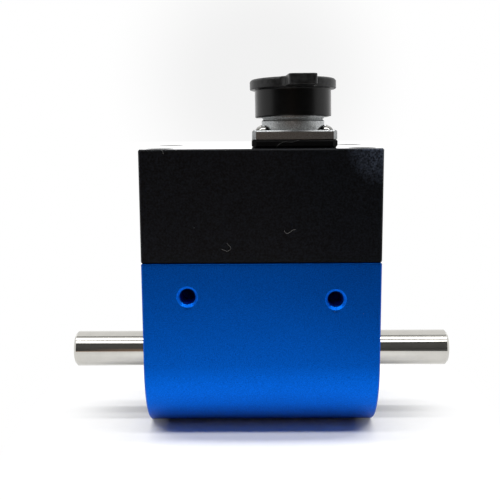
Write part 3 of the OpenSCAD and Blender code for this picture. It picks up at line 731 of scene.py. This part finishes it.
class SENSOR_OT_connector(SensorOperator, bpy.types.Operator):
    """Finish the connector, its gasket and every bright screw"""

    bl_idname = "sensor.connector"
    bl_label = "Connector"

    flange_thickness: length("Flange thickness", "Thickness of the shell's flange", 1.9 * MM)
    head_height: length("Head height", "Height of the screw heads on the flange", 1.1 * MM)

    def make(self, looks, details, stage):
        flange_top = GASKET_HIGH.z + self.flange_thickness
        self.metal_shell(looks, flange_top)
        rubber = moulded_plastic("gasket_rubber", looks.rubber, grain=0.2 * MM, roughness=0.6)
        rubber.set("Specular IOR Level", 0.12)
        dress(rubber.material, "connector_gasket")
        dress(bright_plating("bright_screw", looks.bright_steel).material, "board_screws")
        domes = bright_plating("bright_dome", looks.bright_steel)
        # Painted shade: the dome heads are painted darker toward their base at the flange.
        up = domes.height(flange_top, flange_top + self.head_height)
        shade_shares = ((0.0, 0.05), (0.2, 0.28), (0.65, 0.5), (0.9, 1.0))
        domes.paint(domes.ramp(up, *((at, scaled(looks.bright_steel, share)) for at, share in shade_shares)))
        dress(domes.material, "connector_screws")
        insert = moulded_plastic("insert_plastic", looks.insert, grain=0.15 * MM, roughness=0.42)
        dress(insert.material, "connector_insert")
        gold = turned_metal(
            "gold_contact", looks.gold, pitch=0.1 * MM, depth=0.0006 * MM, roughness=0.18,
            centre=PLUG_AXIS, along=UPWARD,
        )
        dress(gold.material, "connector_contacts")
        dress(insulated_wire("wire_yellow", looks.yellow), "connector_wires")

    def metal_shell(self, looks, flange_top):
        """Shell metal that is smoother and darker on the flange than on the barrel."""
        flange_roughness = 0.32
        half_step = 0.1 * MM
        shade_depth = 0.15 * MM
        shell = cast_shell("shell_metal", looks.shell, flange_roughness, depth=0.45)
        barrel = shell.height(flange_top - half_step, flange_top + half_step)
        shell.feed("Roughness", shell.spread(barrel, flange_roughness, BARREL_ROUGHNESS))
        shell.shade(shell.height(flange_top, flange_top - shade_depth), factor=0.64)
        dress(shell.material, "connector_shell")


class SENSOR_OT_barrel_thread(SensorOperator, bpy.types.Operator):
    """Cut the coupling thread on the connector barrel"""

    bl_idname = "sensor.barrel_thread"
    bl_label = "Barrel thread"

    barrel_radius: length("Barrel radius", "Outer radius of the plain barrel", 6.9 * MM)
    top_margin: length("Top margin", "Plain length above the thread", 0.9 * MM)

    def make(self, looks, details, stage):
        root = self.barrel_radius - 0.04 * MM
        crest = self.barrel_radius + details.barrel_ridge
        start = Vector((PLUG_AXIS.x, PLUG_AXIS.y, CAP_LOW.z + details.barrel_pitch / 2))
        run = SHELL_HIGH.z - self.top_margin - start.z
        work = bmesh.new()
        thread_ridge(work, start, UPWARD, run, root, crest, details.barrel_pitch, steps=64)
        mesh = mesh_of(work, "barrel_thread")
        cut = cast_shell("shell_thread", looks.shell, BARREL_ROUGHNESS, depth=0.15)
        add_piece("barrel_thread", mesh, cut.material, "housing")


class SENSOR_OT_dust_cap(SensorOperator, bpy.types.Operator):
    """Mould the soft dust cap with rounded edges, a slight lean and an uneven skirt"""

    bl_idname = "sensor.dust_cap"
    bl_label = "Dust cap"

    smooth_rounds: bpy.props.IntProperty(
        name="Smoothing", description="Rounds of smoothing that soften the edges", default=2, min=0
    )
    ceiling_room: length("Ceiling room", "Room over the barrel that lets the cap tip", 0.25 * MM)
    rim_height: length("Rim height", "Height of the rim at the top of the cap", 2.2 * MM)
    tab_x: length("Tab middle", "Middle of the pull tab, from left to right", 8.6 * MM)
    tab_shadow_reach: length("Tab shade", "Reach of the shade under the pull tab", 2.9 * MM)

    def make(self, looks, details, stage):
        weld = 0.001 * MM
        ceiling_slack = 0.01 * MM
        work = bmesh.new()
        work.from_mesh(frame["nodes"]["dust_cap"].data)
        bmesh.ops.remove_doubles(work, verts=work.verts, dist=weld)
        for vertex in work.verts:
            if abs(vertex.co.z - SHELL_HIGH.z) < ceiling_slack:
                vertex.co.z += self.ceiling_room
        draft = add_object("cap_draft", mesh_of(work, "cap_draft"))
        remesh = draft.modifiers.new("Remesh", "REMESH")
        remesh.mode = "VOXEL"
        remesh.voxel_size = details.cap_voxel
        soften = draft.modifiers.new("Soften", "SMOOTH")
        soften.factor = 0.5
        soften.iterations = self.smooth_rounds
        ready = draft.evaluated_get(bpy.context.evaluated_depsgraph_get())
        mesh = bpy.data.meshes.new_from_object(ready)
        mesh.name = "soft_dust_cap"
        bpy.data.objects.remove(draft)
        self.ripple(mesh, details.cap_ripple)
        pivot = Vector((PLUG_AXIS.x, PLUG_AXIS.y, (CAP_LOW.z + CAP_HIGH.z) / 2))
        turn = Matrix.Rotation(-details.cap_lean, 4, "Y") @ Matrix.Rotation(-details.cap_tilt, 4, "X")
        mesh.transform(Matrix.Translation(pivot) @ turn @ Matrix.Translation(-pivot))
        for face in mesh.polygons:
            face.use_smooth = True
        mesh.materials.clear()
        cap = add_piece("soft_dust_cap", mesh, self.plastic(looks), "dust_cap")
        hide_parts("dust_cap")

    def plastic(self, looks):
        """Soft plastic, glossy on the skirt and worn matt on the rim and tab, with a painted shadow on the
        rim under the tab.
        """
        skirt_roughness = 0.3
        rim_roughness = 0.4
        half_step = 0.2 * MM
        tab_shadow_drop = 1.5 * MM
        tab_shadow_core = 2.2 * MM
        finish = moulded_plastic("cap_plastic", looks.cap, grain=0.25 * MM, roughness=0.36, depth=0.012 * MM)
        finish.set("Specular IOR Level", 0.28)
        rim = CAP_HIGH.z - self.rim_height
        worn = finish.height(rim - half_step, rim + half_step)
        finish.paint(finish.ramp(worn, (0.0, looks.cap), (1.0, looks.cap_rim)))
        smears = finish.spread(finish.noise(size=0.9 * MM, detail=3.0), 0.0, 1.0, 0.4, 0.65)
        finish.shade(smears, factor=0.3)
        # Painted shadow of the pull tab on the rim below it.
        tab_shadow_centre = Vector((self.tab_x, CAP_LOW.y, rim - tab_shadow_drop))
        finish.shade(finish.near(tab_shadow_centre, tab_shadow_core, self.tab_shadow_reach), factor=0.15)
        finish.feed("Roughness", finish.spread(worn, skirt_roughness, rim_roughness))
        return finish.material

    def ripple(self, mesh, height):
        """Makes the skirt's lower edge uneven, fading out within a few millimetres."""
        fade = 2.0 * MM
        waves = ((1.0, 3, 0.6), (0.6, 7, 2.0), (0.4, 13, 0.0))
        for vertex in mesh.vertices:
            near_edge = max(0.0, 1.0 - (vertex.co.z - CAP_LOW.z) / fade)
            bearing = math.atan2(vertex.co.y - PLUG_AXIS.y, vertex.co.x - PLUG_AXIS.x)
            wave = sum(size * math.sin(count * bearing + start) for size, count, start in waves)
            vertex.co.z += height * near_edge * wave


class SENSOR_OT_lint(SensorOperator, bpy.types.Operator):
    """Lay a few stray fibres and specks on the front"""

    bl_idname = "sensor.lint"
    bl_label = "Lint"

    def make(self, looks, details, stage):
        fibres = bpy.data.curves.new("lint_fibres", "CURVE")
        fibres.dimensions = "3D"
        fibres.bevel_depth = details.lint_radius
        fibres.bevel_resolution = 1
        fibres.use_fill_caps = True
        on_front = BOX_LOW.y - details.lint_radius
        on_gasket = GASKET_LOW.y - details.lint_radius
        strands = (
            (on_front, ((-7.1, 42.1), (-6.9, 41.8), (-6.5, 41.4), (-6.3, 41.0), (-6.5, 40.7),
                        (-7.0, 40.4), (-7.6, 40.6), (-8.2, 40.8))),
            (on_front, ((4.7, 44.7), (4.9, 44.3), (5.1, 44.1), (5.5, 44.1), (6.0, 44.4),
                        (6.4, 44.7), (6.8, 44.8), (7.1, 44.8))),
            (on_front, ((-20.3, 61.3), (-19.9, 60.8), (-19.9, 60.6), (-19.7, 60.4))),
            (on_gasket, ((3.3, 61.5), (4.1, 62.2), (5.0, 62.6), (6.2, 62.5), (7.4, 62.7), (8.1, 62.9))),
        )
        specks = ((-13.8, 45.3), (15.3, 27.5), (21.3, 27.0))
        speck_half = 0.06
        speck_rise = 0.03
        for y, places in strands:
            self.lay(fibres, y, places)
        for x, z in specks:
            self.lay(fibres, on_front, ((x - speck_half, z), (x + speck_half, z + speck_rise)))
        fluff = insulated_wire("lint", looks.lint)
        add_piece("lint_fibres", fibres, fluff, "housing")

    def lay(self, fibres, y, places):
        """Adds one fibre through places given across and up, in millimetres, on a face at y."""
        strand = fibres.splines.new("BEZIER")
        strand.bezier_points.add(len(places) - 1)
        for point, (x, z) in zip(strand.bezier_points, places):
            point.co = (x * MM, y, z * MM)
            point.handle_left_type = "AUTO"
            point.handle_right_type = "AUTO"


class SENSOR_OT_stage(SensorOperator, bpy.types.Operator):
    """Set up the camera, the light box, the floor and the white background"""

    bl_idname = "sensor.stage"
    bl_label = "Stage"

    def make(self, looks, details, stage):
        bpy.context.scene.view_settings.view_transform = "Standard"
        self.camera(stage)
        self.lights(stage)
        self.floor(stage)
        self.curtain(stage)
        self.rails(stage)
        self.world(stage)

    def camera(self, stage):
        """A camera at the given place, turned by its pitch, yaw and roll."""
        data = bpy.data.cameras.new("camera")
        data.lens = stage.camera_lens
        data.clip_start = 0.01
        yaw = Matrix.Rotation(-stage.camera_yaw, 4, "Z")
        pitch = Matrix.Rotation(math.pi / 2 - stage.camera_pitch, 4, "X")
        roll = Matrix.Rotation(stage.camera_roll, 4, "Z")
        turn = yaw @ pitch @ roll
        camera = add_object("camera", data)
        camera.matrix_world = Matrix.Translation(stage.camera_place) @ turn
        bpy.context.scene.camera = camera

    def lights(self, stage):
        """Two strips and a panel overhead, a card on the floor and a low glow behind."""
        card_height = 0.5 * MM
        span = stage.light_span
        top = stage.light_height
        rear_place = (stage.rear_strip_y, top)
        rear = self.light("rear_strip", rear_place, span, stage.rear_strip_width, stage.rear_strip_power)
        rear.visible_glossy = False
        front_place = (stage.front_strip_y, top)
        self.light("front_strip", front_place, span, stage.front_strip_width, stage.front_strip_power)
        panel = self.light("front_panel", (stage.panel_y, top), span, stage.panel_width, stage.panel_power)
        panel.visible_diffuse = False
        card_place = (stage.card_y, card_height)
        card = self.light("bounce_card", card_place, stage.card_span, stage.card_depth, stage.card_power)
        card.rotation_euler.x = math.pi
        card.visible_glossy = False
        glow_place = (stage.glow_y, stage.glow_height)
        glow = self.light("rear_glow", glow_place, span, stage.glow_width, stage.glow_power)
        glow.rotation_euler.x = -math.pi / 2
        glow.visible_diffuse = False

    def light(self, name, place, span, width, power):
        """A flat light that faces down at a place front to back and up, long from left to right."""
        data = bpy.data.lights.new(name, "AREA")
        data.shape = "RECTANGLE"
        data.size = span
        data.size_y = width
        data.energy = power
        light = add_object(name, data)
        light.location = (0.0, *place)
        light.visible_camera = False
        return light

    def floor(self, stage):
        """A pale floor that keeps the object's shadow and is plain white further out."""
        reach = 3.0
        drop = 0.02 * MM
        work = bmesh.new()
        bmesh.ops.create_grid(work, x_segments=1, y_segments=1, size=reach)
        floor = add_object("floor", mesh_of(work, "floor"))
        floor.location.z = -drop
        finish = Finish("pale_floor", roughness=0.45)
        finish.mottle(stage.floor, finish.noise(size=3.0 * MM), depth=0.01)
        finish.set("Specular IOR Level", 0.2)
        white = finish.node("ShaderNodeEmission")
        radius = finish.distance(finish.stretched((stage.pool_squeeze, 1.0, 1.0)))
        outside = finish.spread(radius, 0.0, 1.0, stage.pool_inner, stage.pool_outer)
        mix = finish.node("ShaderNodeMixShader")
        finish.join(finish.math("MULTIPLY", outside, finish.seen_directly()), mix.inputs["Fac"])
        finish.join(finish.shader.outputs["BSDF"], mix.inputs[1])
        finish.join(white.outputs["Emission"], mix.inputs[2])
        finish.join(mix.outputs["Shader"], finish.tree.nodes["Material Output"].inputs["Surface"])
        floor.data.materials.append(finish.material)

    def curtain(self, stage):
        """Dark cloth that lies and hangs round the front, which metal reflects as a dark band."""
        steps = 48
        lift = 0.1 * MM
        shift_rate = 3.0
        work = bmesh.new()
        posts = []
        for i in range(steps + 1):
            bearing = stage.curtain_reach * (2.0 * i / steps - 1.0)
            x = stage.curtain_radius * math.sin(bearing)
            y = -stage.curtain_radius * math.cos(bearing)
            to_right = min(1.0, max(0.0, shift_rate * math.sin(bearing)))
            inner = (stage.mat_radius - stage.mat_shift * to_right) / stage.curtain_radius
            mat = work.verts.new((inner * x, inner * y, lift))
            posts.append([mat, *(work.verts.new((x, y, z)) for z in (lift, stage.curtain_height))])
        for near, far in zip(posts, posts[1:]):
            for low in (0, 1):
                work.faces.new((near[low], far[low], far[low + 1], near[low + 1]))
        curtain = add_object("curtain", mesh_of(work, "curtain"))
        curtain.visible_camera = False
        cloth = moulded_plastic("curtain_cloth", stage.curtain, grain=2.0 * MM, roughness=0.9)
        up = cloth.height(0.6 * stage.curtain_foot_height, 1.4 * stage.curtain_foot_height)
        across = cloth.distance(cloth.stretched((1.0, 0.0, 0.0)), (stage.foot_x, 0.0, 0.0))
        aside = cloth.spread(across, 0.0, 1.0, stage.foot_span, 2.0 * stage.foot_span)
        plain = cloth.math("MAXIMUM", up, aside)
        cloth.paint(cloth.ramp(plain, (0.0, stage.curtain_foot), (1.0, stage.curtain)))
        cloth.set("Specular IOR Level", 0.0)
        curtain.data.materials.append(cloth.material)

    def rails(self, stage):
        """Dark bars of the light box beside the lights, which polished metal shows as thin lines."""
        bars = ((stage.rear_rail_y, stage.rear_rail_width), (stage.front_rail_y, stage.front_rail_width))
        corners = ((-1, -1), (1, -1), (1, 1), (-1, 1))
        work = bmesh.new()
        for y, width in bars:
            work.faces.new([
                work.verts.new((stage.light_span * across, y + width / 2 * along, stage.light_height))
                for across, along in corners
            ])
        rails = add_object("rails", mesh_of(work, "rails"))
        for part in ("camera", "diffuse", "shadow"):
            setattr(rails, f"visible_{part}", False)
        paint = moulded_plastic("rail_paint", stage.curtain, grain=2.0 * MM, roughness=0.9)
        paint.set("Specular IOR Level", 0.0)
        rails.data.materials.append(paint.material)

    def world(self, stage):
        """White for what is seen directly or mirrored, a low ambient light for matt surfaces, and painted
        shade: a faint grey patch on the background round the cap, seen by the camera only.
        """
        front_to_back = (-0.1, 0.3)
        grey_edge = (0.4 * stage.grey_reach, 1.6 * stage.grey_reach)
        world = bpy.data.worlds.new("light_box")
        world.use_nodes = True
        sky = Nodes(world.node_tree)
        direction = sky.node("ShaderNodeTexCoord").outputs["Generated"]
        depth = sky.axis(direction, "Y")
        ambient = sky.spread(depth, stage.ambient_front, stage.ambient_back, *front_to_back, "SMOOTHSTEP")
        # Painted shade on the background: a faint grey patch round the cap, for camera rays only.
        middle = Vector((0.0, 0.0, CAP_HIGH.z)) - Vector(stage.camera_place)
        offset = sky.distance(direction, middle.normalized())
        grey = sky.spread(offset, stage.grey, 1.0, *grey_edge, "SMOOTHSTEP")
        shown = sky.spread(sky.node("ShaderNodeLightPath").outputs["Is Camera Ray"], 1.0, grey)
        background = sky.tree.nodes["Background"]
        background.inputs["Color"].default_value = (1.0, 1.0, 1.0, 1.0)
        sky.join(sky.spread(sky.seen_directly(), ambient, shown), background.inputs["Strength"])
        bpy.context.scene.world = world


SETTINGS = {
    "sensor_finish": SensorFinishSettings,
    "sensor_details": SensorDetailSettings,
    "sensor_stage": SensorStageSettings,
}
OPERATORS = (
    SENSOR_OT_stage,
    SENSOR_OT_housing,
    SENSOR_OT_hole_threads,
    SENSOR_OT_shaft,
    SENSOR_OT_bearings,
    SENSOR_OT_transformers,
    SENSOR_OT_boards,
    SENSOR_OT_connector,
    SENSOR_OT_barrel_thread,
    SENSOR_OT_dust_cap,
    SENSOR_OT_lint,
)


class SENSOR_PT_dressing(bpy.types.Panel):
    """Lists the steps that dress the sensor"""

    bl_idname = "SENSOR_PT_dressing"
    bl_label = "Torque Sensor"
    bl_space_type = "VIEW_3D"
    bl_region_type = "UI"
    bl_category = "Sensor"

    def draw(self, context):
        for operator in OPERATORS:
            self.layout.operator(operator.bl_idname)


CLASSES = (*SETTINGS.values(), *OPERATORS, SENSOR_PT_dressing)


def register():
    for cls in CLASSES:
        bpy.utils.register_class(cls)
    for name, group in SETTINGS.items():
        setattr(bpy.types.Scene, name, bpy.props.PointerProperty(type=group))


def unregister():
    for name in SETTINGS:
        delattr(bpy.types.Scene, name)
    for cls in reversed(CLASSES):
        bpy.utils.unregister_class(cls)


def main():
    """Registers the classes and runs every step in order."""
    register()
    for operator in OPERATORS:
        group, step = operator.bl_idname.split(".")
        getattr(getattr(bpy.ops, group), step)()


if __name__ == "__main__":
    main()
